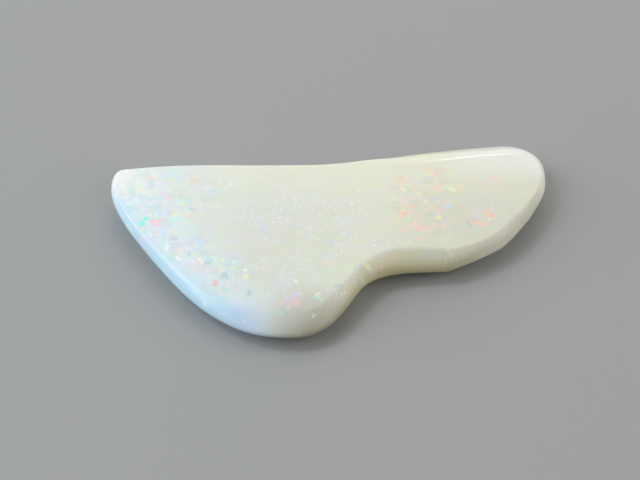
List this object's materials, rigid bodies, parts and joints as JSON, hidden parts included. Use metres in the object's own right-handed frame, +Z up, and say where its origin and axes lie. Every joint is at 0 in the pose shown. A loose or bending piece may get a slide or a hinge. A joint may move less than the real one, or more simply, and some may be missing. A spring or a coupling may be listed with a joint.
{
  "type": "polished freeform opal",
  "caption": "Thin flat-lying polished stone of milky white opal: a long pointed end, a rounded toe with a notch beside it, a ground rim and an undercut edge.",
  "frame": {"origin": "on the resting surface, under the middle of the stone's outline; the flat base lies in z = 0", "axes": "+X along the length towards the rounded end, +Y towards the long straight back edge, +Z up out of the polished face"},
  "size_m": [0.0296, 0.0176, 0.0023],
  "materials": {
    "white_opal": "polished"
  },
  "bodies": {
    "root": {"opal_stone": "white_opal"}
  },
  "joints": []
}
